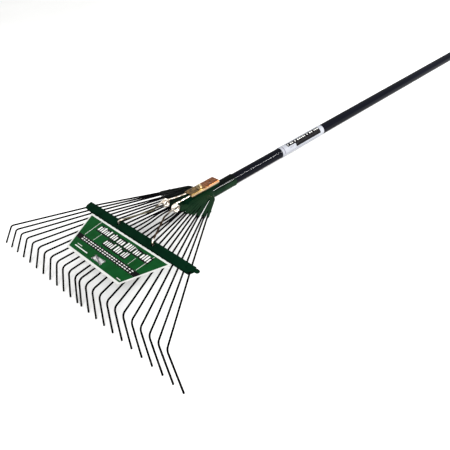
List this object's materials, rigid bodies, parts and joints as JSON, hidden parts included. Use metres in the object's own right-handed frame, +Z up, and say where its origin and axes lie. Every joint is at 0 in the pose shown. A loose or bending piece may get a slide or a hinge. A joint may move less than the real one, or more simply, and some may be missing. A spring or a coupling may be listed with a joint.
{
  "type": "leaf rake",
  "caption": "Spring-brace leaf rake: a fan of bent round-wire tines held by a crossbar, a pressed head and socket, a coiled brace spring and a long round handle.",
  "frame": {"origin": "centre of the bounding box's base, on the floor that the tine tips and the handle's far end stand on", "axes": "+X along the rake from the tine tips to the far end of the handle, +Y towards tine_01, the side called left in the node names and the right hand of someone who holds the handle's end and looks towards the tines, +Z up"},
  "size_m": [1.5594, 0.61, 0.1014],
  "materials": {
    "tine_enamel": "gloss black baked enamel on round spring wire",
    "green_enamel": "semi-gloss dark green baked enamel on pressed sheet steel",
    "bracket_plate": "yellow-passivated zinc, satin, brass coloured",
    "spring_wire": "oiled bronze-coloured spring steel, satin",
    "fastener_zinc": "bright zinc plate",
    "tie_wire": "plain tie wire",
    "handle_lacquer": "gloss navy-black lacquer over a turned handle",
    "label_sleeve": "white printed sleeve with a black band",
    "printed_card": "printed green card with a white border, satin varnish"
  },
  "bodies": {
    "root": {"handle": "handle_lacquer", "handle_label": "label_sleeve", "head_upper_shell": "green_enamel", "head_lower_shell": "green_enamel", "head_rivet_left": "green_enamel", "head_rivet_right": "green_enamel", "socket_screw": "fastener_zinc", "brace_bracket": "bracket_plate", "brace_bolt": "fastener_zinc", "brace_washer": "fastener_zinc", "brace_nut": "fastener_zinc", "brace_anchor": "spring_wire", "brace_coil_left": "spring_wire", "brace_coil_right": "spring_wire"},
    "fan": {"tine_01": "tine_enamel", "tine_02": "tine_enamel", "tine_03": "tine_enamel", "tine_04": "tine_enamel", "tine_05": "tine_enamel", "tine_06": "tine_enamel", "tine_07": "tine_enamel", "tine_08": "tine_enamel", "tine_09": "tine_enamel", "tine_10": "tine_enamel", "tine_11": "tine_enamel", "tine_12": "tine_enamel", "tine_13": "tine_enamel", "tine_14": "tine_enamel", "tine_15": "tine_enamel", "tine_16": "tine_enamel", "tine_17": "tine_enamel", "tine_18": "tine_enamel", "tine_19": "tine_enamel", "tine_20": "tine_enamel", "tine_21": "tine_enamel", "tine_22": "tine_enamel", "tine_23": "tine_enamel", "tine_24": "tine_enamel", "crossbar_upper": "green_enamel", "crossbar_lower": "green_enamel", "crossbar_rivet_1": "green_enamel", "crossbar_rivet_2": "green_enamel", "crossbar_rivet_3": "green_enamel", "crossbar_rivet_4": "green_enamel", "header_card": "printed_card", "card_tie_left": "tie_wire", "card_tie_right": "tie_wire"},
    "brace": {"brace_leg_left": "spring_wire", "brace_leg_right": "spring_wire"}
  },
  "joints": [
    {"name": "fan_flex", "type": "hinge", "parent": "root", "child": "fan", "pos_m": [-0.50817, 0, 0.07636], "axis": [0, 1, 0], "range_deg": [-2, 5], "stiffness_Nm_per_rad": 220},
    {"name": "brace_flex", "type": "hinge", "parent": "root", "child": "brace", "pos_m": [-0.53, 0, 0.09075], "axis": [0, 1, 0], "range_deg": [-2.5, 6.1], "stiffness_Nm_per_rad": 36}
  ],
  "couplings": [
    {"joint": "brace_flex", "follows": "fan_flex", "ratio": 1.215}
  ]
}
